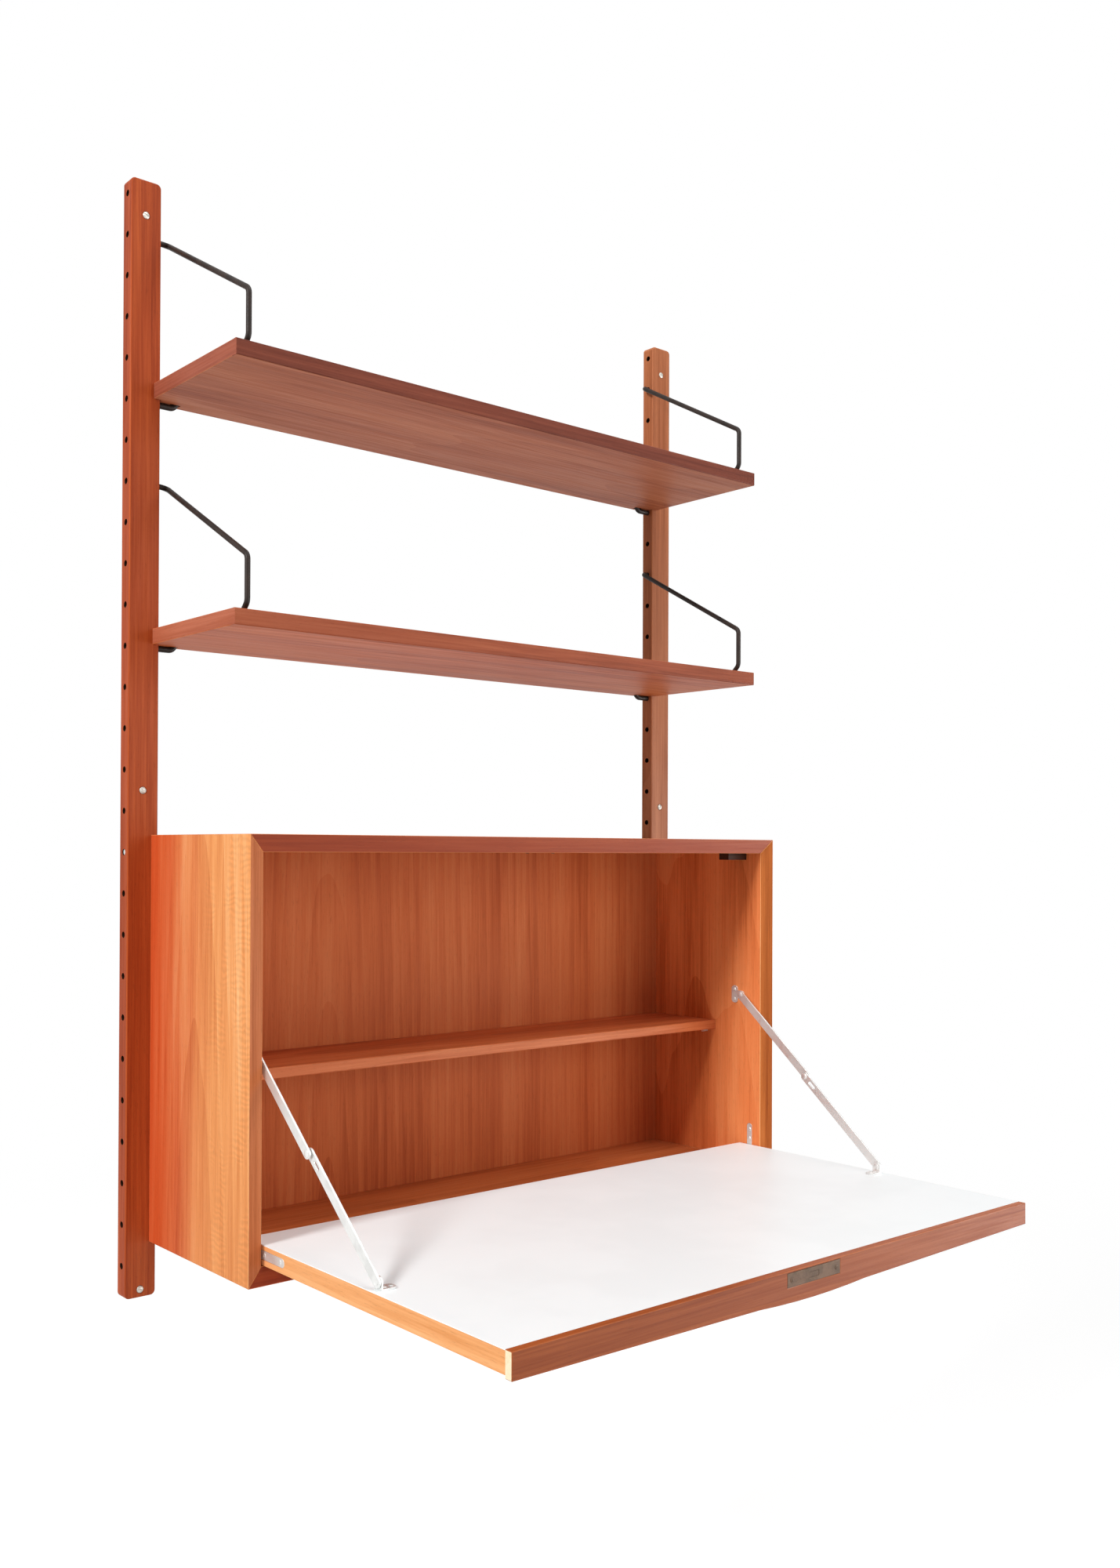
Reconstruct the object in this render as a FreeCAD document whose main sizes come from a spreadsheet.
"""Fold-down wall desk: two drilled uprights, two hung shelves and a drop-front desk cabinet.

Millimetres. X runs along the wall, Y into the wall (the wall plane is Y = 0) and Z up.
The origin is the centre of the four corner wall screws. The flap is modelled open.
"""
import FreeCAD, Part
import math
import os
import types

import Sketcher
from FreeCAD import Placement, Rotation, Vector

doc = FreeCAD.newDocument("FoldDownWallDesk")

# Driving dimensions: name, value, meaning
DRIVING_SIZES = [
    # Uprights
    ("hole_pitch", 45, "distance between two side holes"),
    ("hole_count", 27, "side holes in one upright"),
    ("side_hole_bore", 7, "diameter of a side hole"),
    ("upright_width", 36, "width seen from the front"),
    ("upright_depth", 18, "depth from the wall"),
    ("module_width", 800, "outside width of the shelves and the cabinet"),
    ("upright_bearing", 8, "how far they lap each upright"),
    ("upright_head_margin", 16, "top end above the first hole"),
    ("upright_foot_margin", 35, "bottom end below the last hole"),
    ("upright_corner_radius", 8, "rounded end corners"),
    ("upright_arris", 1.5, "rounded edges of the front face"),
    ("wall_screw_bore", 4.5, "clearance hole of a wall screw"),
    ("wall_screw_head", 9.5, "countersink diameter"),
    ("foot_screw_margin", 8.5, "lowest wall screw above the bottom end"),
    ("middle_screw_step", 14, "hole pitches from the top wall screw to the middle one"),
    # Shelves
    ("shelf_depth", 180, "depth in front of the uprights"),
    ("shelf_thickness", 17, "board thickness"),
    ("shelf_lipping_depth", 8, "solid front edge"),
    ("shelf_edge_round", 1.2, "rounded arris of the front edge"),
    ("upright_gap", 1, "gap between an upright and what fits between the two"),
    ("seat_gap", 0.3, "gap of a loose wooden seat"),
    ("wall_gap", 0.5, "gap to the wall"),
    ("upper_shelf_hole", 6, "hole that takes the upper shelf's pegs, counted from the top"),
    ("lower_shelf_hole", 12, "hole that takes the lower shelf's pegs"),
    # Hanger rods
    ("rod_hole_gap", 0.5, "radial gap of a rod in a side hole"),
    ("rod_reach", 12, "rod plane inboard of the upright"),
    ("rod_end_recess", 10, "rod end inside the upright's outer face"),
    ("rod_hole_step", 4, "holes from the pegs up to the rod"),
    ("rod_front_setback", 10, "post behind the shelf's front edge"),
    ("rod_post_height", 57, "post corner above the shelf"),
    ("rod_bend_radius", 9, "centre line radius of the bends"),
    ("rod_foot_rise", 9, "foot bend above the shelf"),
    ("rod_foot_depth", 12, "foot length inside the shelf"),
    ("rod_socket_gap", 0.2, "radial gap of the foot in its socket"),
    # Shelf pegs
    ("peg_hole_gap", 0.2, "radial gap of a peg in a side hole"),
    ("peg_end_recess", 6, "peg end inside the upright's outer face"),
    ("peg_reach", 24, "upturned tip inboard of the upright"),
    ("peg_bend_radius", 8, "centre line radius of the tip's bend"),
    ("peg_tip_rise", 9, "tip above the shelf's underside"),
    ("peg_notch_gap", 0.5, "gap round the tip in the shelf"),
    # Cabinet
    ("cabinet_hole", 17, "hole that takes the hanging bolts"),
    ("cabinet_head_rise", 19, "cabinet top above that hole"),
    ("cabinet_height", 445, "outside height"),
    ("cabinet_depth", 213, "depth in front of the uprights"),
    ("carcass_thickness", 18, "mitred boards"),
    ("front_bevel", 6, "slope of the front edges"),
    ("back_recess", 14, "back panel in front of the boards' rear edges"),
    ("back_thickness", 6, "back panel"),
    ("rail_drop", 26, "hanging rail below the cabinet's ceiling"),
    ("bolt_hole_gap", 0.5, "radial gap of a hanging bolt in a side hole"),
    ("bolt_insert", 30, "bolt length inside the rail"),
    ("bolt_recess", 1, "bolt end inside the upright's outer face"),
    ("bolt_gap", 0.1, "radial gap of the bolt in the rail"),
    ("inner_shelf_thickness", 12, "loose shelf"),
    ("inner_shelf_drop", 246, "inner shelf's top below the cabinet's top"),
    ("inner_shelf_depth", 110, "front to back"),
    ("shelf_pin_diameter", 5, "pins under the inner shelf"),
    ("shelf_pin_insert", 9, "pin length in the side board"),
    ("shelf_pin_reach", 9, "pin length under the shelf"),
    ("shelf_pin_gap", 0.1, "radial gap of a pin in the side board"),
    ("shelf_pin_inset", 16, "pin centre from the shelf's front and rear edges"),
    # Flap
    ("flap_thickness", 19.5, "board without laminate"),
    ("laminate_thickness", 1, "writing surface"),
    ("flap_side_gap", 2, "flap to side board"),
    ("flap_foot_gap", 1.5, "flap to cabinet floor when closed"),
    ("flap_head_gap", 2, "flap to cabinet ceiling when closed"),
    ("flap_floor_gap", 0.8, "flap over the cabinet floor when open"),
    ("lipping_depth", 8, "solid front edge of the flap"),
    ("grip_end_drop", 3, "lipping below the outer face at its ends"),
    ("grip_half_width", 80, "finger grip, from the middle to where the tapers begin"),
    ("grip_shoulder_drop", 7.4, "lipping below the outer face there"),
    ("grip_middle_drop", 10, "lipping below the outer face at its middle"),
    # Knife hinges
    ("flap_recess", 8.3, "closed flap's face behind the cabinet's front"),
    ("eye_cover", 0.3, "wood between the leaf's eye and the laminate"),
    ("leaf_thickness", 2, "hinge leaf"),
    ("flap_leaf_width", 9, "leaf in the flap's side edge"),
    ("flap_leaf_length", 57, "pivot to the leaf's round end"),
    ("cabinet_leaf_width", 8, "leaf in the side board"),
    ("cabinet_leaf_length", 33, "pivot to the leaf's round end"),
    ("hinge_eye", 8, "diameter of the leaf round the pin"),
    ("hinge_bore", 5, "hole for the pin"),
    ("hinge_pin_gap", 0.05, "radial running gap of the pin"),
    ("hinge_washer", 9, "washer between the leaves"),
    ("washer_gap", 0.2, "axial gap at the washer"),
    ("mortise_gap", 0.15, "gap round a let-in plate"),
    ("leaf_screw_bore", 3.2, "screw hole in a leaf"),
    ("leaf_screw_first", 13, "first screw from the pivot, cabinet leaf"),
    ("flap_screw_first", 20, "first screw from the pivot, flap leaf"),
    ("leaf_screw_margin", 8, "last screw from the leaf's round end"),
    # Folding stays
    ("stay_setback", 37, "upper pivot behind the cabinet's front"),
    ("stay_drop", 207.5, "upper pivot below the cabinet's top"),
    ("stay_height", 7.5, "lower pivot above the writing surface"),
    ("link_width", 10.5, "flat steel strip"),
    ("link_thickness", 2, "flat steel strip"),
    ("link_gap", 0.3, "gap beside a link"),
    ("knee_gap", 1.7, "gap between the two links at the knee"),
    ("slot_width", 3.5, "slot in the lower link"),
    ("slot_start", 11, "near end of that slot from the knee"),
    ("slot_end", 19, "far end of that slot from the knee"),
    ("rivet_diameter", 5, "pivot rivets"),
    ("rivet_gap", 0.05, "radial running gap of a rivet"),
    ("rivet_head", 7.5, "rivet head diameter"),
    ("rivet_head_height", 1.2, "rivet head height"),
    ("rivet_dome", 0.8, "domed part of that height"),
    ("head_gap", 0.1, "gap under a rivet head"),
    ("bracket_thickness", 2, "stay brackets"),
    ("bracket_screw_bore", 3.5, "screw holes in the brackets"),
    ("flange_offset", 11, "upper bracket's flange behind the pivot"),
    ("flange_width", 10, "upper bracket's flange, front to back"),
    ("flange_height", 23, "upper bracket's flange"),
    ("flange_corner", 4.5, "rounded corners of that flange"),
    ("flange_screw_pitch", 13, "screws in that flange"),
    ("foot_length", 18, "lower bracket's foot, inboard of the lug"),
    ("foot_width", 12, "lower bracket's foot, front to back"),
    ("foot_corner", 4.5, "rounded corners of that foot"),
    ("foot_screw_pitch", 7, "screws in that foot"),
    ("foot_screw_inset", 4.5, "first of those screws from the foot's inboard end"),
    # Lock
    ("lock_plate_width", 80, "face plate"),
    ("lock_plate_height", 13.5, "face plate"),
    ("lock_plate_thickness", 2, "face plate"),
    ("lock_plate_inset", 2, "face plate below the writing surface"),
    ("lock_screw_margin", 6, "face plate screws from its ends"),
    ("lock_case_width", 34, "lock case"),
    ("lock_case_height", 11, "lock case"),
    ("lock_case_depth", 38, "lock case behind the face plate"),
    ("lock_gap", 0.3, "gap round the case and the cylinder"),
    ("lock_bolt_width", 14, "bolt"),
    ("lock_bolt_height", 5, "bolt"),
    ("lock_bolt_length", 26, "bolt"),
    ("lock_bolt_gap", 0.2, "gap round the bolt"),
    ("lock_bolt_throw", 8, "bolt travel"),
    ("cylinder_diameter", 12, "key cylinder"),
    ("cylinder_setback", 24, "key cylinder behind the flap's front edge"),
    ("cylinder_stand", 1, "cylinder beyond the outer face"),
    ("escutcheon_diameter", 20, "ring round the cylinder"),
    ("escutcheon_thickness", 1.5, "ring round the cylinder"),
    ("keyway_length", 7, "key slot"),
    ("keyway_width", 1.4, "key slot"),
    ("keyway_depth", 3, "key slot"),
    ("strike_width", 50, "strike plate"),
    ("strike_depth", 14, "strike plate, front to back"),
    ("strike_thickness", 1.5, "strike plate"),
    ("strike_gap", 1, "gap round the thrown bolt"),
    # Flap stop
    ("stop_width", 36, "block under the ceiling"),
    ("stop_depth", 16, "front to back"),
    ("stop_height", 8.5, "block under the ceiling"),
    ("stop_inset", 1, "block from the right side board"),
    ("stop_gap", 0.5, "block behind the closed flap"),
]

sheet = doc.addObject("Spreadsheet::Sheet", "Sizes")
for row, (name, number, meaning) in enumerate(DRIVING_SIZES, start=1):
    sheet.set(f"A{row}", meaning)
    sheet.set(f"B{row}", str(number))
    sheet.setAlias(f"B{row}", name)
doc.recompute()


class Size:
    """A number together with the sheet expression that gives it."""

    def __init__(self, value, text):
        self.value = float(value)
        self.text = text

    def __add__(self, other):
        other = as_size(other)
        return Size(self.value + other.value, f"({self.text} + {other.text})")

    def __sub__(self, other):
        other = as_size(other)
        return Size(self.value - other.value, f"({self.text} - {other.text})")

    def __mul__(self, other):
        other = as_size(other)
        return Size(self.value * other.value, f"({self.text} * {other.text})")

    def __truediv__(self, other):
        other = as_size(other)
        return Size(self.value / other.value, f"({self.text} / {other.text})")

    def __neg__(self):
        return Size(-self.value, f"(-1 * {self.text})")

    __radd__ = __add__
    __rmul__ = __mul__


def as_size(number):
    return number if isinstance(number, Size) else Size(number, repr(number))


def hypotenuse(a, b):
    squares = a * a + b * b
    return Size(math.sqrt(squares.value), f"sqrt({squares.text})")


def slope_angle(rise, run):
    ratio = rise / run
    return Size(math.degrees(math.atan(ratio.value)), f"atan({ratio.text})")


s = types.SimpleNamespace()
for name, *_ in DRIVING_SIZES:
    setattr(s, name, Size(sheet.get(name), f"Sizes.{name}"))

# Places that follow from the driving dimensions
top_screw = ((s.hole_count - 1) * s.hole_pitch + s.upright_foot_margin
             - s.foot_screw_margin - s.hole_pitch / 2) / 2
middle_screw = top_screw - s.middle_screw_step * s.hole_pitch
first_hole = top_screw + s.hole_pitch / 2
upright_head = first_hole + s.upright_head_margin
upright_foot = first_hole - (s.hole_count - 1) * s.hole_pitch - s.upright_foot_margin
module_side = s.module_width / 2
upright_inner = module_side - s.upright_bearing
upright_outer = upright_inner + s.upright_width
upright_centre = upright_inner + s.upright_width / 2
upright_front = -s.upright_depth
hole_line = -s.upright_depth / 2
peg_radius = s.side_hole_bore / 2 - s.peg_hole_gap
rod_radius = s.side_hole_bore / 2 - s.rod_hole_gap
hanging_bolt_radius = s.side_hole_bore / 2 - s.bolt_hole_gap

shelf_front = upright_front - s.shelf_depth
tongue_side = upright_inner - s.upright_gap
rod_plane = upright_inner - s.rod_reach
peg_tip = upright_inner - s.peg_reach

cabinet_head = first_hole - (s.cabinet_hole - 1) * s.hole_pitch + s.cabinet_head_rise
cabinet_foot = cabinet_head - s.cabinet_height
cabinet_front = upright_front - s.cabinet_depth
ceiling = cabinet_head - s.carcass_thickness
floor = cabinet_foot + s.carcass_thickness
inner_side = module_side - s.carcass_thickness
back_rear = upright_front - s.back_recess
back_front = back_rear - s.back_thickness
bolt_level = first_hole - (s.cabinet_hole - 1) * s.hole_pitch
inner_shelf_top = cabinet_head - s.inner_shelf_drop
inner_shelf_rear = back_front - s.seat_gap
inner_shelf_front = inner_shelf_rear - s.inner_shelf_depth

flap_outer = floor + s.flap_floor_gap
board_inner = flap_outer + s.flap_thickness
flap_inner = board_inner + s.laminate_thickness
hinge_z = board_inner - s.eye_cover - s.hinge_eye / 2
hinge_y = cabinet_front + s.flap_recess + hinge_z - flap_outer
heel_radius = hinge_z - floor - s.flap_foot_gap
flap_rear = hinge_y + heel_radius
flap_length = ceiling - floor - s.flap_foot_gap - s.flap_head_gap
flap_front = flap_rear - flap_length
lipping_rear = flap_front + s.lipping_depth
flap_side = inner_side - s.flap_side_gap
flap_middle = flap_outer + (s.flap_thickness + s.laminate_thickness) / 2
closed_inner = hinge_y + flap_inner - hinge_z

stay_upper_y = cabinet_front + s.stay_setback
stay_upper_z = cabinet_head - s.stay_drop
stay_lower_z = flap_inner + s.stay_height
stay_lower_y = hinge_y + hinge_z - stay_upper_z
stay_run = stay_upper_y - stay_lower_y
stay_fall = stay_upper_z - stay_lower_z
link_length = hypotenuse(stay_run, stay_fall) / 2
stay_lean = slope_angle(stay_run, stay_fall)
upper_lug_inner = inner_side - s.bracket_thickness
upper_link_outer = upper_lug_inner - s.link_gap
upper_link_inner = upper_link_outer - s.link_thickness
lower_link_outer = upper_link_inner - s.knee_gap
lower_link_inner = lower_link_outer - s.link_thickness
lower_lug_outer = lower_link_inner - s.link_gap
lower_lug_inner = lower_lug_outer - s.bracket_thickness
foot_inner = lower_lug_outer - s.foot_length

lock_level = flap_inner - s.lock_plate_inset - s.lock_plate_height / 2
lock_case_front = flap_front + s.lock_plate_thickness
lock_case_rear = lock_case_front + s.lock_case_depth
cylinder_y = flap_front + s.cylinder_setback
strike_y = hinge_y + lock_level - hinge_z

ZERO = Size(0, "0")
PAST = Size(1, "1")  # how far a cut runs past the face that it opens
LEFT, RIGHT = -1, 1
SIDES = {"left": LEFT, "right": RIGHT}


def across(side, near, far):
    """The X span between two distances from the middle, on one side of the object."""
    return (near, far) if side == RIGHT else (-far, -near)


# Builders
def bowed(start, end, radius):
    """An arc between two points of an outline that is drawn anticlockwise."""
    chord = end - start
    sag = radius - math.sqrt(radius ** 2 - (chord.Length / 2) ** 2)
    outward = Vector(chord.y, -chord.x, 0).normalize()
    return Part.Arc(start, (start + end) / 2 + outward * sag, end)


class Piece:
    """One sub-part as a body of sketched features."""

    PLANES = {"X": "YZ_Plane", "Y": "XZ_Plane", "Z": "XY_Plane"}

    def __init__(self, label):
        self.body = doc.addObject("PartDesign::Body", label)
        self.body.Label = label

    def sketch(self, axis, low, high, outlines, circles):
        drawing = self.body.newObject("Sketcher::SketchObject", f"{self.body.Name}_sketch")
        role = self.PLANES[axis]
        plane = next(f for f in self.body.Origin.OriginFeatures if f.Role == role)
        drawing.AttachmentSupport = [(plane, "")]
        drawing.MapMode = "FlatFace"
        # The XZ plane faces the front, so its offsets run towards -Y
        level = -high if axis == "Y" else low
        drawing.setExpression("AttachmentOffset.Base.z", level.text)
        for points in outlines:
            self.draw_outline(drawing, points)
        for centre, radius in circles:
            self.draw_circle(drawing, centre, radius)
        return drawing

    def draw_outline(self, drawing, points):
        """Edges from point to point. A third size in a point bows its edge outwards with that radius."""
        first = drawing.GeometryCount
        corners = [Vector(as_size(x).value, as_size(y).value, 0) for x, y, *_ in points]
        count = len(corners)
        for i, (_, _, *bow) in enumerate(points):
            start, end = corners[i], corners[(i + 1) % count]
            drawing.addGeometry(bowed(start, end, bow[0].value) if bow else Part.LineSegment(start, end))
        for i in range(count):
            drawing.addConstraint(Sketcher.Constraint("Coincident", first + i, 2, first + (i + 1) % count, 1))
        for i, (x, y, *bow) in enumerate(points):
            self.pin_point(drawing, first + i, 1, as_size(x), as_size(y))
            if bow:
                self.set_radius(drawing, first + i, bow[0])

    def draw_circle(self, drawing, centre, radius):
        x, y = map(as_size, centre)
        index = drawing.addGeometry(Part.Circle(Vector(x.value, y.value, 0), Vector(0, 0, 1), radius.value))
        self.pin_point(drawing, index, 3, x, y)
        self.set_radius(drawing, index, radius)

    def set_radius(self, drawing, index, radius):
        number = drawing.addConstraint(Sketcher.Constraint("Radius", index, radius.value))
        drawing.renameConstraint(number, f"radius_{index}")
        drawing.setExpression(f"Constraints.radius_{index}", radius.text)

    def pin_point(self, drawing, index, end, x, y):
        for kind, distance in (("DistanceX", x), ("DistanceY", y)):
            number = drawing.addConstraint(Sketcher.Constraint(kind, -1, 1, index, end, distance.value))
            drawing.renameConstraint(number, f"{kind}_{index}")
            drawing.setExpression(f"Constraints.{kind}_{index}", distance.text)

    def extrude(self, kind, axis, low, high, outlines, circles):
        low, high = as_size(low), as_size(high)
        drawing = self.sketch(axis, low, high, outlines, circles)
        feature = self.body.newObject(f"PartDesign::{kind}", f"{self.body.Name}_{kind.lower()}")
        feature.Profile = drawing
        feature.setExpression("Length", (high - low).text)
        feature.Reversed = kind == "Pocket"
        return feature

    def pad(self, axis, low, high, outlines=(), circles=()):
        """Adds the outlines and circles, from low to high along the axis."""
        self.extrude("Pad", axis, low, high, outlines, circles)
        return self

    def pocket(self, axis, low, high, outlines=(), circles=()):
        """Cuts the outlines and circles, from low to high along the axis."""
        doc.recompute()
        before = self.body.Shape.Volume
        self.cut = self.extrude("Pocket", axis, low, high, outlines, circles)
        doc.recompute()
        assert self.body.Shape.Volume < before, f"{self.body.Label}: a pocket cuts nothing"
        return self

    def repeat_down(self, pitch, count):
        """Repeats the last pocket downwards."""
        pattern = self.body.newObject("PartDesign::LinearPattern", f"{self.body.Name}_row")
        pattern.Originals = [self.cut]
        z_axis = next(f for f in self.body.Origin.OriginFeatures if f.Role == "Z_Axis")
        pattern.Direction = (z_axis, [""])
        pattern.Reversed = True
        pattern.setExpression("Length", (pitch * (count - 1)).text)
        pattern.setExpression("Occurrences", count.text)
        self.body.Tip = pattern
        return self

    def dress(self, kind, prop, amount, choose):
        """Fillets or chamfers the edges that choose(edge) picks."""
        doc.recompute()
        base = self.body.Tip
        names = [f"Edge{i}" for i, edge in enumerate(base.Shape.Edges, start=1) if choose(edge)]
        feature = self.body.newObject(f"PartDesign::{kind}", f"{self.body.Name}_{kind.lower()}")
        feature.Base = (base, names)
        feature.setExpression(prop, amount.text)
        return self

    def fillet(self, radius, choose):
        return self.dress("Fillet", "Radius", radius, choose)

    def chamfer(self, size, choose):
        return self.dress("Chamfer", "Size", size, choose)


NEAR = 0.01  # two places closer than this are the same


def rectangle(x0, x1, y0, y1):
    return [(x0, y0), (x1, y0), (x1, y1), (x0, y1)]


def runs_along(axis, **at):
    """Picks straight edges along an axis whose ends lie at the given X, Y or Z."""
    def choose(edge):
        if edge.Curve.TypeId != "Part::GeomLine":
            return False
        ends = [vertex.Point for vertex in edge.Vertexes]
        along = abs(getattr(edge.Curve.Direction, axis)) > 1 - NEAR
        return along and all(abs(getattr(end, k) - v.value) < NEAR for end in ends for k, v in at.items())
    return choose


def lies_across(axis, place):
    """Picks the edges that lie in a plane across an axis."""
    def choose(edge):
        return all(abs(getattr(vertex.Point, axis) - place.value) < NEAR for vertex in edge.Vertexes)
    return choose


def rim(radius, y):
    """Picks the round edges of a radius that lie in the plane at y."""
    def choose(edge):
        round_edge = edge.Curve.TypeId == "Part::GeomCircle"
        return (round_edge and abs(edge.Curve.Radius - radius.value) < NEAR
                and abs(edge.Curve.Center.y - y.value) < NEAR)
    return choose


def block(label, x_span, y_span, z_span):
    box = doc.addObject("Part::Box", label)
    box.Label = label
    spans = {"Length": ("x", x_span), "Width": ("y", y_span), "Height": ("z", z_span)}
    for prop, (place, (low, high)) in spans.items():
        box.setExpression(prop, (high - low).text)
        box.setExpression(f"Placement.Base.{place}", low.text)
    return box


TURNS = {"x": Rotation(Vector(0, 1, 0), 90), "y": Rotation(Vector(1, 0, 0), -90), "z": Rotation()}


def rod(label, axis, span, centre, radius):
    """A round bar along an axis. centre gives the other two places, in X, Y, Z order."""
    bar = doc.addObject("Part::Cylinder", label)
    bar.Label = label
    bar.setExpression("Radius", radius.text)
    bar.setExpression("Height", (span[1] - span[0]).text)
    bar.Placement = Placement(Vector(), TURNS[axis])
    places = dict(zip([a for a in "xyz" if a != axis], centre))
    places[axis] = span[0]
    for place, amount in places.items():
        bar.setExpression(f"Placement.Base.{place}", as_size(amount).text)
    return bar


def join(label, pieces):
    fuse = doc.addObject("Part::MultiFuse", label)
    fuse.Label = label
    fuse.Shapes = pieces
    return fuse


def cut_from(label, base, tools):
    for i, tool in enumerate(tools):
        last = i == len(tools) - 1
        cut = doc.addObject("Part::Cut", label if last else f"{label}_step")
        cut.Base, cut.Tool = base, tool
        base = cut
    base.Label = label
    return base


def group(label, pieces):
    """Identical loose pieces that share one node."""
    compound = doc.addObject("Part::Compound", label)
    compound.Label = label
    compound.Links = pieces
    return compound


def bent_path(points, radius):
    """Straight runs through the points, joined by tangent arcs of one radius."""
    edges, start = [], points[0]
    for before, corner, after in zip(points, points[1:], points[2:]):
        into = (corner - before).normalize()
        out = (after - corner).normalize()
        turn = into.getAngle(out)
        reach = radius * math.tan(turn / 2)
        first, last = corner - into * reach, corner + out * reach
        inward = (out - into).normalize()
        middle = corner + inward * (radius / math.cos(turn / 2) - radius)
        edges += [Part.LineSegment(start, first).toShape(), Part.Arc(first, middle, last).toShape()]
        start = last
    edges.append(Part.LineSegment(start, points[-1]).toShape())
    return Part.Wire(edges)


def bent_bar(label, points, bend_radius, bar_radius):
    """A round bar swept along a bent path that leaves its plane."""
    path = bent_path(points, bend_radius)
    ring = Part.Circle(points[0], points[1] - points[0], bar_radius).toShape()
    bar = doc.addObject("Part::Feature", label)
    bar.Label = label
    bar.Shape = path.makePipeShell([Part.Wire([ring])], True, False)
    expected = math.pi * bar_radius ** 2 * path.Length
    assert math.isclose(bar.Shape.Volume, expected, rel_tol=0.01), f"{label}: the sweep lost volume"
    return bar


nodes = []


def keep(*pieces):
    for piece in pieces:
        nodes.append(piece.body if isinstance(piece, Piece) else piece)


# Uprights: drilled teak posts, screwed flat to the wall
def upright(label, side):
    x0, x1 = across(side, upright_inner, upright_outer)
    post = Piece(label)
    post.pad("Y", upright_front, ZERO, [rectangle(x0, x1, upright_foot, upright_head)])
    for end in (upright_foot, upright_head):
        post.fillet(s.upright_corner_radius, runs_along("y", z=end))
    post.fillet(s.upright_arris, lies_across("y", upright_front))
    post.pocket("X", x0 - PAST, x1 + PAST, circles=[((hole_line, first_hole), s.side_hole_bore / 2)])
    post.repeat_down(s.hole_pitch, s.hole_count)
    levels = (top_screw, middle_screw, -top_screw)
    screws = [((side * upright_centre, z), s.wall_screw_bore / 2) for z in levels]
    post.pocket("Y", upright_front - PAST, PAST, circles=screws)
    countersink = (s.wall_screw_head - s.wall_screw_bore) / 2
    return post.chamfer(countersink, rim(s.wall_screw_bore / 2, upright_front))


for word, side in SIDES.items():
    keep(upright(f"upright_{word}", side))


# Shelves: a board with a rear tongue between the uprights and a solid front lipping
def rod_route(side, peg_level):
    """Centre line of a hanger rod, from inside the upright to its foot in the shelf."""
    shelf_top = peg_level + peg_radius + s.shelf_thickness
    hook_level = peg_level + s.rod_hole_step * s.hole_pitch
    post_y = shelf_front + s.rod_front_setback
    foot = s.rod_foot_rise + s.rod_foot_depth / math.sqrt(2)
    route = [
        (side * (upright_outer - s.rod_end_recess), hole_line, hook_level),
        (side * rod_plane, hole_line, hook_level),
        (side * rod_plane, post_y, shelf_top + s.rod_post_height),
        (side * rod_plane, post_y, shelf_top + s.rod_foot_rise),
        (side * rod_plane, post_y + foot, shelf_top + s.rod_foot_rise - foot),
    ]
    return [Vector(*(as_size(c).value for c in point)) for point in route]


def peg_route(side, peg_level):
    """Centre line of a shelf peg, from inside the upright to its upturned tip."""
    tip_level = peg_level + peg_radius + s.peg_tip_rise
    route = [
        (side * (upright_outer - s.peg_end_recess), hole_line, peg_level),
        (side * peg_tip, hole_line, peg_level),
        (side * peg_tip, hole_line, tip_level),
    ]
    return [Vector(*(as_size(c).value for c in point)) for point in route]


def shelf(label, peg_level):
    low = peg_level + peg_radius
    high = low + s.shelf_thickness
    half = module_side
    board_front = shelf_front + s.shelf_lipping_depth
    notch_y = upright_front - s.seat_gap
    rear = -s.wall_gap
    outline = [(-half, board_front), (half, board_front), (half, notch_y), (tongue_side, notch_y),
               (tongue_side, rear), (-tongue_side, rear), (-tongue_side, notch_y), (-half, notch_y)]
    board = Piece(label)
    board.pad("Z", low, high, [outline])
    notch_half = peg_radius + s.peg_notch_gap
    notches = []
    for side in SIDES.values():
        notch_span = across(side, peg_tip - notch_half, peg_tip + s.peg_bend_radius + s.peg_notch_gap)
        notches.append(rectangle(*notch_span, hole_line - notch_half, hole_line + notch_half))
    board.pocket("Z", low - PAST, low + s.peg_tip_rise + s.peg_notch_gap, notches)
    sockets = []
    for word, side in SIDES.items():
        *_, bend, end = rod_route(side, peg_level)
        socket = doc.addObject("Part::Cylinder", f"{label}_socket_{word}")
        socket.setExpression("Radius", (rod_radius + s.rod_socket_gap).text)
        socket.Height = (end - bend).Length + s.rod_socket_gap.value
        socket.Placement = Placement(bend, Rotation(Vector(0, 0, 1), end - bend))
        sockets.append(socket)
    board.body.Label = f"{label}_blank"
    lipping = Piece(f"{label}_lipping")
    lipping.pad("Z", low, high, [rectangle(-half, half, shelf_front, board_front)])
    for level in (low, high):
        lipping.fillet(s.shelf_edge_round, runs_along("x", y=shelf_front, z=level))
    return cut_from(label, board.body, sockets), lipping


pegs = []
for word, hole in (("upper", s.upper_shelf_hole), ("lower", s.lower_shelf_hole)):
    level = first_hole - (hole - 1) * s.hole_pitch
    keep(*shelf(f"shelf_{word}", level))
    for hand, side in SIDES.items():
        keep(bent_bar(f"hanger_rod_{word}_{hand}", rod_route(side, level),
                      s.rod_bend_radius.value, rod_radius.value))
        pegs.append(bent_bar(f"shelf_peg_{word}_{hand}", peg_route(side, level),
                             s.peg_bend_radius.value, peg_radius.value))
keep(group("shelf_pegs", pegs))


# Cabinet: four boards mitred like a picture frame, with front edges that slope inwards
def flat_board(label, outer, inner):
    """The top or the bottom board."""
    board = Piece(label)
    board.pad("Y", cabinet_front, upright_front,
              [[(-module_side, outer), (module_side, outer), (inner_side, inner), (-inner_side, inner)]])
    bevel = [(cabinet_front, outer), (cabinet_front, inner), (cabinet_front + s.front_bevel, inner)]
    return board.pocket("X", -module_side - PAST, module_side + PAST, [bevel])


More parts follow.
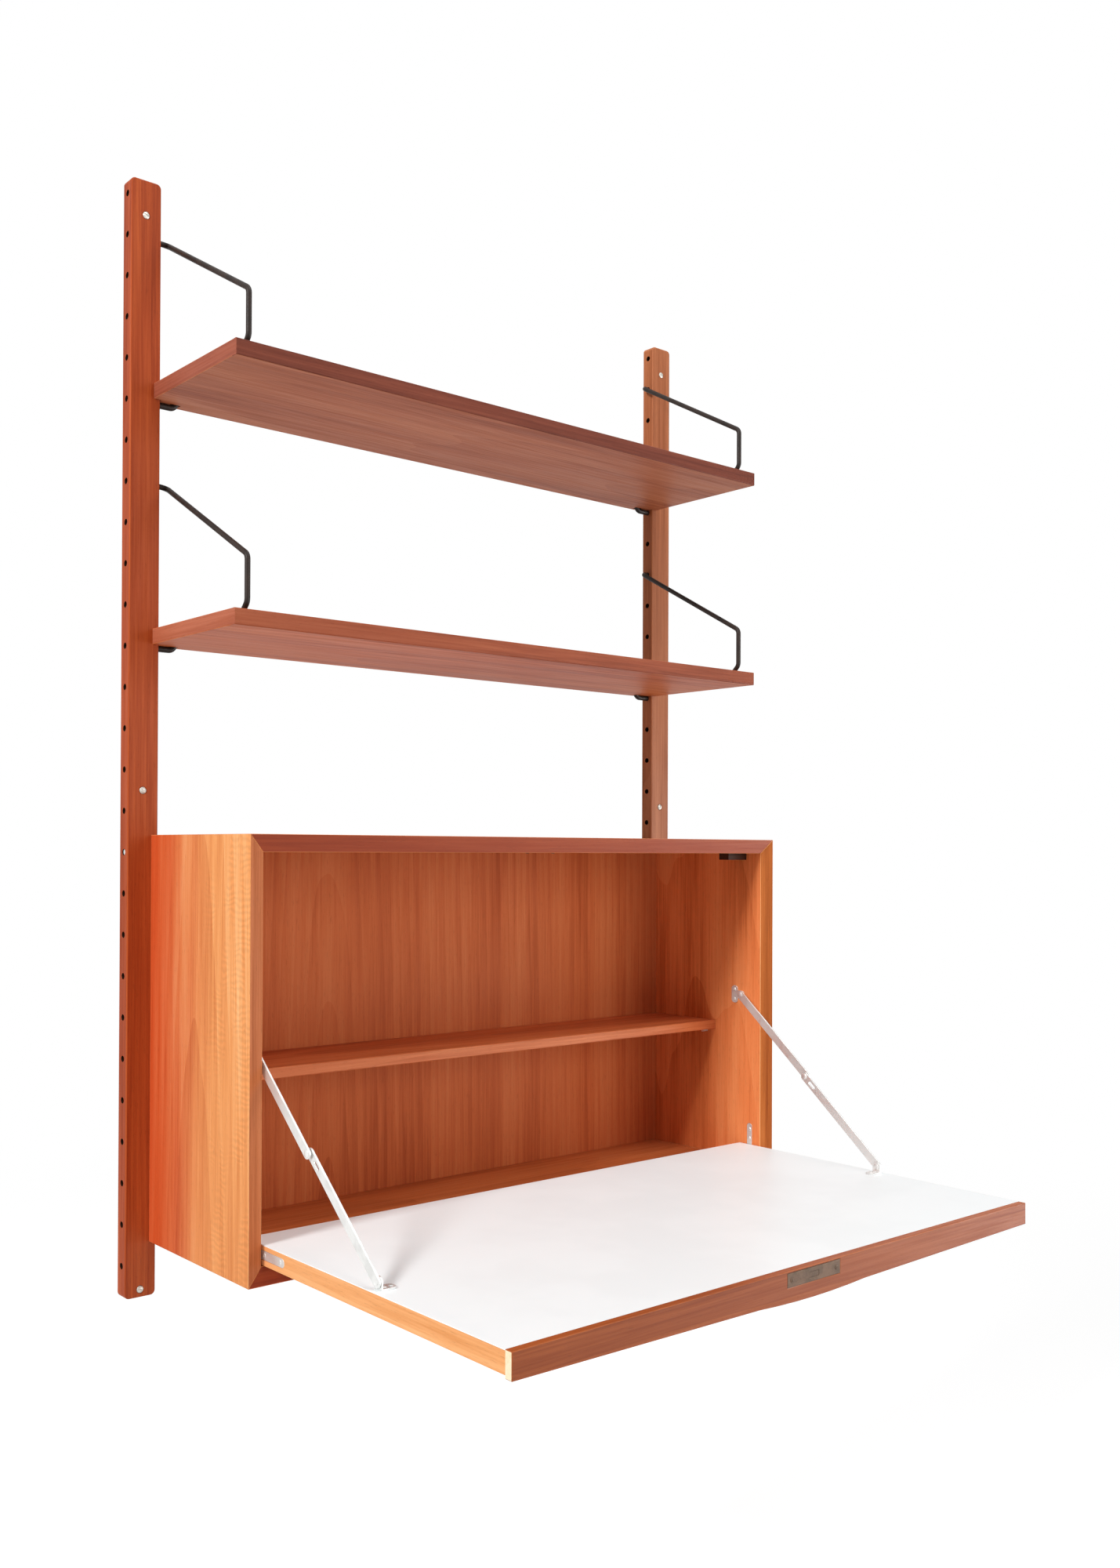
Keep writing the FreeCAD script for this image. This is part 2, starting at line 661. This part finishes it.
def side_board(label, side):
    outer, inner = side * module_side, side * inner_side
    board = Piece(label)
    board.pad("Y", cabinet_front, upright_front,
              [[(outer, cabinet_foot), (outer, cabinet_head), (inner, ceiling), (inner, floor)]])
    bevel = [(outer, cabinet_front), (inner, cabinet_front), (inner, cabinet_front + s.front_bevel)]
    board.pocket("Z", cabinet_foot - PAST, cabinet_head + PAST, [bevel])
    # Mortise of the hinge leaf
    mortise = across(side, inner_side - PAST, inner_side + s.leaf_thickness)
    half = s.cabinet_leaf_width / 2 + s.mortise_gap
    end = hinge_z + s.cabinet_leaf_length - s.cabinet_leaf_width / 2
    board.pocket("X", *mortise, [rectangle(hinge_y - half, hinge_y + half, hinge_z, end)])
    board.pocket("X", *mortise, circles=[((hinge_y, hinge_z), s.hinge_eye / 2 + s.mortise_gap)])
    board.pocket("X", *mortise, circles=[((hinge_y, end), half)])
    # Holes of the inner shelf's pins
    drilling = across(side, inner_side - PAST, inner_side + s.shelf_pin_insert)
    pin_hole = s.shelf_pin_diameter / 2 + s.shelf_pin_gap
    return board.pocket("X", *drilling, circles=[((y, shelf_pin_level), pin_hole) for y in shelf_pin_places])


shelf_pin_level = inner_shelf_top - s.inner_shelf_thickness - s.shelf_pin_diameter / 2
shelf_pin_places = (inner_shelf_front + s.shelf_pin_inset, inner_shelf_rear - s.shelf_pin_inset)

for word, side in SIDES.items():
    keep(side_board(f"cabinet_side_{word}", side))
keep(flat_board("cabinet_bottom", cabinet_foot, floor))

# The top board is let out for the strike plate and the thrown lock bolt
top_board = flat_board("cabinet_top", cabinet_head, ceiling)
strike_half = s.strike_depth / 2 + s.mortise_gap
bolt_half = s.lock_bolt_height / 2 + s.strike_gap
slot_half = s.lock_bolt_width / 2 + s.strike_gap
top_board.pocket("Z", ceiling - PAST, ceiling + s.strike_thickness,
                 [rectangle(-s.strike_width / 2 - s.mortise_gap, s.strike_width / 2 + s.mortise_gap,
                            strike_y - strike_half, strike_y + strike_half)])
top_board.pocket("Z", ceiling - PAST, ceiling + s.lock_bolt_throw,
                 [rectangle(-slot_half, slot_half, strike_y - bolt_half, strike_y + bolt_half)])
keep(top_board)

strike = Piece("lock_strike_plate")
strike.pad("Z", ceiling, ceiling + s.strike_thickness,
           [rectangle(-s.strike_width / 2, s.strike_width / 2,
                      strike_y - s.strike_depth / 2, strike_y + s.strike_depth / 2)])
strike.pocket("Z", ceiling - PAST, ceiling + s.strike_thickness + PAST,
              [rectangle(-slot_half, slot_half, strike_y - bolt_half, strike_y + bolt_half)])
keep(strike)

keep(block("cabinet_back", (-inner_side, inner_side), (back_front, back_rear), (floor, ceiling)))

# The hanging rail is glued under the ceiling, behind the back, and reaches between the uprights
rail = Piece("hanging_rail")
rail_foot = ceiling - s.rail_drop
rail.pad("X", -inner_side, inner_side, [rectangle(back_rear, upright_front, rail_foot, ceiling)])
rail.pad("X", -tongue_side, tongue_side, [rectangle(upright_front, -s.wall_gap, rail_foot, cabinet_head)])
for side in SIDES.values():
    drilling = across(side, tongue_side - s.bolt_insert, tongue_side + PAST)
    rail.pocket("X", *drilling, circles=[((hole_line, bolt_level), hanging_bolt_radius + s.bolt_gap)])
keep(rail)
keep(group("hanging_bolts", [
    rod(f"hanging_bolt_{word}", "x", across(side, tongue_side - s.bolt_insert, upright_outer - s.bolt_recess),
        (hole_line, bolt_level), hanging_bolt_radius)
    for word, side in SIDES.items()]))

# Loose inner shelf on four pins
inner_shelf_half = inner_side - s.seat_gap
inner_shelf = Piece("inner_shelf")
inner_shelf.pad("X", -inner_shelf_half, inner_shelf_half,
                [rectangle(inner_shelf_front, inner_shelf_rear,
                           inner_shelf_top - s.inner_shelf_thickness, inner_shelf_top)])
for level in (inner_shelf_top, inner_shelf_top - s.inner_shelf_thickness):
    inner_shelf.fillet(s.shelf_edge_round, runs_along("x", y=inner_shelf_front, z=level))
keep(inner_shelf)
keep(group("inner_shelf_pins", [
    rod(f"inner_shelf_pin_{word}_{i}", "x",
        across(side, inner_side - s.shelf_pin_reach, inner_side + s.shelf_pin_insert),
        (y, shelf_pin_level), s.shelf_pin_diameter / 2)
    for word, side in SIDES.items() for i, y in enumerate(shelf_pin_places, start=1)]))

# Block under the ceiling, in the right corner, that the closed flap meets
stop_front = closed_inner + s.stop_gap
stop_outer = inner_side - s.stop_inset
keep(block("flap_stop", (stop_outer - s.stop_width, stop_outer),
           (stop_front, stop_front + s.stop_depth), (ceiling - s.stop_height, ceiling)))

# Flap: veneered board with a round heel that clears the cabinet floor as it turns
flap = Piece("flap_panel")
flap.pad("Z", flap_outer, board_inner, [rectangle(-flap_side, flap_side, lipping_rear, flap_rear)])
flap.fillet(heel_radius, runs_along("x", y=flap_rear, z=flap_outer))
leaf_half = s.flap_leaf_width / 2
leaf_end = hinge_y - s.flap_leaf_length + leaf_half
for side in SIDES.values():
    mortise = across(side, flap_side - s.leaf_thickness, flap_side + PAST)
    gap_half = leaf_half + s.mortise_gap
    flap.pocket("X", *mortise, [rectangle(leaf_end, hinge_y, flap_middle - gap_half, flap_middle + gap_half)])
    flap.pocket("X", *mortise, circles=[((hinge_y, hinge_z), s.hinge_eye / 2 + s.mortise_gap)])
    flap.pocket("X", *mortise, circles=[((leaf_end, flap_middle), gap_half)])
case_x = s.lock_case_width / 2 + s.lock_gap
case_z = s.lock_case_height / 2 + s.lock_gap
case_mouth = rectangle(-case_x, case_x, lock_level - case_z, lock_level + case_z)
flap.pocket("Y", lipping_rear - PAST, lock_case_rear + s.lock_gap, [case_mouth])
flap.pocket("Z", flap_outer - PAST, lock_level,
            circles=[((ZERO, cylinder_y), s.cylinder_diameter / 2 + s.lock_gap)])
keep(flap)

keep(block("flap_laminate", (-flap_side, flap_side), (lipping_rear, flap_rear), (board_inner, flap_inner)))


def grip_lipping():
    """Front edge of the flap. Its lower edge tapers down to a bowed finger grip at the middle."""
    end_z = flap_outer - s.grip_end_drop
    shoulder_z = flap_outer - s.grip_shoulder_drop
    sag = s.grip_middle_drop - s.grip_shoulder_drop
    bow_radius = (s.grip_half_width * s.grip_half_width + sag * sag) / (2 * sag)
    outline = [(-flap_side, flap_inner), (-flap_side, end_z), (-s.grip_half_width, shoulder_z, bow_radius),
               (s.grip_half_width, shoulder_z), (flap_side, end_z), (flap_side, flap_inner)]
    lipping = Piece("flap_lipping")
    lipping.pad("Y", flap_front, lipping_rear, [outline])
    plate_x = s.lock_plate_width / 2 + s.mortise_gap
    plate_z = s.lock_plate_height / 2 + s.mortise_gap
    recess = rectangle(-plate_x, plate_x, lock_level - plate_z, lock_level + plate_z)
    lipping.pocket("Y", flap_front - PAST, lock_case_front, [recess])
    return lipping.pocket("Y", flap_front - PAST, lipping_rear + PAST, [case_mouth])


keep(grip_lipping())


# Knife hinges: two let-in leaves, a pin and a washer on each side
def flap_leaf(label, side):
    span = across(side, flap_side - s.leaf_thickness, flap_side)
    leaf = Piece(label)
    leaf.pad("X", *span, [rectangle(leaf_end, hinge_y, flap_middle - leaf_half, flap_middle + leaf_half)])
    leaf.pad("X", *span, circles=[((hinge_y, hinge_z), s.hinge_eye / 2)])
    leaf.pad("X", *span, circles=[((leaf_end, flap_middle), leaf_half)])
    screws = [hinge_y - s.flap_screw_first, hinge_y - s.flap_leaf_length + s.leaf_screw_margin]
    holes = [((y, flap_middle), s.leaf_screw_bore / 2) for y in screws]
    holes.append(((hinge_y, hinge_z), s.hinge_bore / 2))
    return leaf.pocket("X", span[0] - PAST, span[1] + PAST, circles=holes)


def cabinet_leaf(label, side):
    span = across(side, inner_side, inner_side + s.leaf_thickness)
    half = s.cabinet_leaf_width / 2
    end = hinge_z + s.cabinet_leaf_length - half
    leaf = Piece(label)
    leaf.pad("X", *span, [rectangle(hinge_y - half, hinge_y + half, hinge_z, end)])
    leaf.pad("X", *span, circles=[((hinge_y, hinge_z), s.hinge_eye / 2)])
    leaf.pad("X", *span, circles=[((hinge_y, end), half)])
    screws = [hinge_z + s.leaf_screw_first, hinge_z + s.cabinet_leaf_length - s.leaf_screw_margin]
    holes = [((hinge_y, z), s.leaf_screw_bore / 2) for z in screws]
    holes.append(((hinge_y, hinge_z), s.hinge_bore / 2))
    return leaf.pocket("X", span[0] - PAST, span[1] + PAST, circles=holes)


pins, washers = [], []
for word, side in SIDES.items():
    keep(flap_leaf(f"hinge_flap_leaf_{word}", side), cabinet_leaf(f"hinge_cabinet_leaf_{word}", side))
    pins.append(rod(f"hinge_pin_{word}", "x",
                    across(side, flap_side - s.leaf_thickness + s.washer_gap, inner_side + s.leaf_thickness),
                    (hinge_y, hinge_z), s.hinge_bore / 2 - s.hinge_pin_gap))
    washer_span = across(side, flap_side + s.washer_gap, inner_side - s.washer_gap)
    disc = rod(f"washer_disc_{word}", "x", washer_span, (hinge_y, hinge_z), s.hinge_washer / 2)
    bore = rod(f"washer_bore_{word}", "x", washer_span, (hinge_y, hinge_z), s.hinge_bore / 2)
    washers.append(cut_from(f"hinge_washer_{word}", disc, [bore]))
keep(group("hinge_pins", pins), group("hinge_washers", washers))


# Folding stays: two flat links, a bracket at each end and a knee between them
def link(label, side, near, far, pivot_y, pivot_z, lean, slotted=False):
    """A flat strip with round ends, drawn hanging from its pivot and then swung to its lean."""
    span = across(side, near, far)
    half = s.link_width / 2
    strip = Piece(label)
    strip.pad("X", *span, [rectangle(-half, half, -link_length, ZERO)])
    for end in (ZERO, -link_length):
        strip.pad("X", *span, circles=[((ZERO, end), half)])
    bore = s.rivet_diameter / 2 + s.rivet_gap
    holes = [((ZERO, end), bore) for end in (ZERO, -link_length)]
    through = (span[0] - PAST, span[1] + PAST)
    strip.pocket("X", *through, circles=holes)
    if slotted:
        half = s.slot_width / 2
        strip.pocket("X", *through, [rectangle(-half, half, -s.slot_end, -s.slot_start)])
        strip.pocket("X", *through, circles=[((ZERO, -end), half) for end in (s.slot_start, s.slot_end)])
    swing(strip.body, pivot_y, pivot_z, lean)
    return strip


def swing(body, pivot_y, pivot_z, lean):
    """Turns a body about the X axis through its pivot."""
    body.Placement = Placement(Vector(), Rotation(Vector(1, 0, 0), lean.value))
    body.setExpression("Placement.Base.y", pivot_y.text)
    body.setExpression("Placement.Base.z", pivot_z.text)
    body.setExpression("Placement.Rotation.Angle", lean.text)


def upper_bracket(label, side):
    """A flange screwed to the side board, with a lug towards the front."""
    span = across(side, upper_lug_inner, inner_side)
    half = s.link_width / 2
    flange_y = stay_upper_y + s.flange_offset
    plate = Piece(label)
    plate.pad("X", *span, [rectangle(flange_y - s.flange_width / 2, flange_y + s.flange_width / 2,
                                     stay_upper_z - s.flange_height / 2, stay_upper_z + s.flange_height / 2)])
    for end in (-1, 1):
        z = stay_upper_z + end * s.flange_height / 2
        plate.fillet(s.flange_corner, runs_along("x", z=z))
    plate.pad("X", *span, [rectangle(stay_upper_y, flange_y, stay_upper_z - half, stay_upper_z + half)])
    plate.pad("X", *span, circles=[((stay_upper_y, stay_upper_z), half)])
    screws = [((flange_y, stay_upper_z + end * s.flange_screw_pitch / 2), s.bracket_screw_bore / 2)
              for end in (-1, 1)]
    rivet = ((stay_upper_y, stay_upper_z), s.rivet_diameter / 2 + s.rivet_gap)
    return plate.pocket("X", span[0] - PAST, span[1] + PAST, circles=screws + [rivet])


def lower_bracket(label, side):
    """A foot screwed to the flap, with an upright lug for the lower link."""
    lug = across(side, lower_lug_inner, lower_lug_outer)
    half = s.link_width / 2
    plate = Piece(label)
    foot = [rectangle(*across(side, foot_inner, lower_lug_outer),
                      stay_lower_y - s.foot_width / 2, stay_lower_y + s.foot_width / 2)]
    plate.pad("Z", flap_inner, flap_inner + s.bracket_thickness, foot)
    plate.fillet(s.foot_corner, runs_along("z", x=side * foot_inner))
    plate.pad("X", *lug, [rectangle(stay_lower_y - half, stay_lower_y + half, flap_inner, stay_lower_z)])
    plate.pad("X", *lug, circles=[((stay_lower_y, stay_lower_z), half)])
    first_screw = foot_inner + s.foot_screw_inset
    screws = [((side * x, stay_lower_y), s.bracket_screw_bore / 2)
              for x in (first_screw, first_screw + s.foot_screw_pitch)]
    plate.pocket("Z", flap_inner - PAST, flap_inner + s.bracket_thickness + PAST, circles=screws)
    rivet = ((stay_lower_y, stay_lower_z), s.rivet_diameter / 2 + s.rivet_gap)
    return plate.pocket("X", lug[0] - PAST, lug[1] + PAST, circles=[rivet])


def headed_rivet(label, side, shank, base, tip, y, z):
    """A shank and one head, along X. The head runs from its base to its tip, which lies on a ball."""
    bar = rod(f"{label}_shank", "x", across(side, *shank), (y, z), s.rivet_diameter / 2)
    low, high = sorted((base, tip), key=lambda place: place.value)
    cap = rod(f"{label}_cap", "x", across(side, low, high), (y, z), s.rivet_head / 2)
    half = s.rivet_head / 2
    ball_radius = (half * half + s.rivet_dome * s.rivet_dome) / (2 * s.rivet_dome)
    ball_centre = tip + ball_radius if base.value > tip.value else tip - ball_radius
    ball = doc.addObject("Part::Sphere", f"{label}_ball")
    ball.setExpression("Radius", ball_radius.text)
    for place, amount in zip("xyz", (side * ball_centre, y, z)):
        ball.setExpression(f"Placement.Base.{place}", amount.text)
    head = doc.addObject("Part::Common", f"{label}_head")
    head.Base, head.Tool = cap, ball
    return join(label, [bar, head])


knee_y = stay_upper_y - stay_run / 2
knee_z = stay_upper_z - stay_fall / 2
upper_rivets, lower_rivets = [], []
for word, side in SIDES.items():
    keep(upper_bracket(f"stay_upper_bracket_{word}", side))
    keep(lower_bracket(f"stay_lower_bracket_{word}", side))
    keep(link(f"stay_upper_link_{word}", side, upper_link_inner, upper_link_outer,
              stay_upper_y, stay_upper_z, -stay_lean))
    keep(link(f"stay_lower_link_{word}", side, lower_link_inner, lower_link_outer,
              knee_y, knee_z, -stay_lean, slotted=True))
    head = upper_link_inner - s.head_gap
    upper_rivets.append(headed_rivet(f"stay_upper_rivet_{word}", side, (head, inner_side),
                                     head, head - s.rivet_head_height, stay_upper_y, stay_upper_z))
    head = lower_lug_inner - s.head_gap
    lower_rivets.append(headed_rivet(f"stay_lower_rivet_{word}", side, (head, lower_link_outer),
                                     head, head - s.rivet_head_height, stay_lower_y, stay_lower_z))
    # The knee rivet comes in two halves, one on each link, with a gap between them
    stub = (s.knee_gap - s.link_gap) / 2
    head = upper_link_outer
    keep(headed_rivet(f"stay_knee_rivet_outer_{word}", side, (upper_link_inner - stub, head),
                      head, head + s.rivet_head_height, knee_y, knee_z))
    head = lower_link_inner
    keep(headed_rivet(f"stay_knee_rivet_inner_{word}", side, (head, lower_link_outer + stub),
                      head, head - s.rivet_head_height, knee_y, knee_z))
keep(group("stay_upper_rivets", upper_rivets), group("stay_lower_rivets", lower_rivets))

# Lock: case let into the flap's front edge, with a bolt that a key cylinder throws
bolt_x = s.lock_bolt_width / 2 + s.lock_bolt_gap
bolt_z = s.lock_bolt_height / 2 + s.lock_bolt_gap
bolt_mouth = rectangle(-bolt_x, bolt_x, lock_level - bolt_z, lock_level + bolt_z)
bolt_front = flap_front + s.lock_bolt_gap
bolt_rear = bolt_front + s.lock_bolt_length

face_plate = Piece("lock_face_plate")
face_plate.pad("Y", flap_front, lock_case_front,
               [rectangle(-s.lock_plate_width / 2, s.lock_plate_width / 2,
                          lock_level - s.lock_plate_height / 2, lock_level + s.lock_plate_height / 2)])
screw_x = s.lock_plate_width / 2 - s.lock_screw_margin
screws = [((side * screw_x, lock_level), s.bracket_screw_bore / 2) for side in SIDES.values()]
face_plate.pocket("Y", flap_front - PAST, lock_case_front + PAST, [bolt_mouth], circles=screws)
keep(face_plate)

case = Piece("lock_case")
case.pad("Y", lock_case_front, lock_case_rear,
         [rectangle(-s.lock_case_width / 2, s.lock_case_width / 2,
                    lock_level - s.lock_case_height / 2, lock_level + s.lock_case_height / 2)])
case.pocket("Y", lock_case_front - PAST, bolt_rear + s.lock_bolt_gap, [bolt_mouth])
keep(case)

keep(block("lock_bolt", (-s.lock_bolt_width / 2, s.lock_bolt_width / 2), (bolt_front, bolt_rear),
           (lock_level - s.lock_bolt_height / 2, lock_level + s.lock_bolt_height / 2)))

cylinder_foot = flap_outer - s.cylinder_stand
cylinder_head = lock_level - s.lock_case_height / 2 - s.head_gap
cylinder = Piece("lock_cylinder")
centre = (ZERO, cylinder_y)
cylinder.pad("Z", cylinder_foot, cylinder_head, circles=[(centre, s.cylinder_diameter / 2)])
cylinder.pocket("Z", cylinder_foot - PAST, cylinder_foot + s.keyway_depth,
                [rectangle(-s.keyway_width / 2, s.keyway_width / 2,
                           cylinder_y - s.keyway_length / 2, cylinder_y + s.keyway_length / 2)])
keep(cylinder)

escutcheon = Piece("lock_escutcheon")
escutcheon.pad("Z", flap_outer - s.escutcheon_thickness, flap_outer,
               circles=[(centre, s.escutcheon_diameter / 2), (centre, s.cylinder_diameter / 2 + s.lock_gap)])
keep(escutcheon)

# Every object has to be sound before anything is written
doc.recompute()
for thing in doc.Objects:
    if "Invalid" in thing.State or "Error" in thing.State:
        raise RuntimeError(f"{thing.Label} failed: {thing.State}")
for node in nodes:
    if node.Shape.isNull() or not node.Shape.isValid() or not node.Shape.Solids:
        raise RuntimeError(f"{node.Label} has no valid solid")

os.makedirs("parts", exist_ok=True)
for node in nodes:
    node.Shape.exportStep(f"parts/{node.Label}.step")

print(len(nodes), "nodes")
print("flap hinge at", hinge_y.value, hinge_z.value)
print("upper stay pivot at", stay_upper_y.value, stay_upper_z.value)
print("lower stay pivot at", stay_lower_y.value, stay_lower_z.value)
print("stay link", round(link_length.value, 3), "leaning", round(stay_lean.value, 3), "degrees")
print("key cylinder at", cylinder_y.value)
print("wall screws at", top_screw.value, middle_screw.value, -top_screw.value)
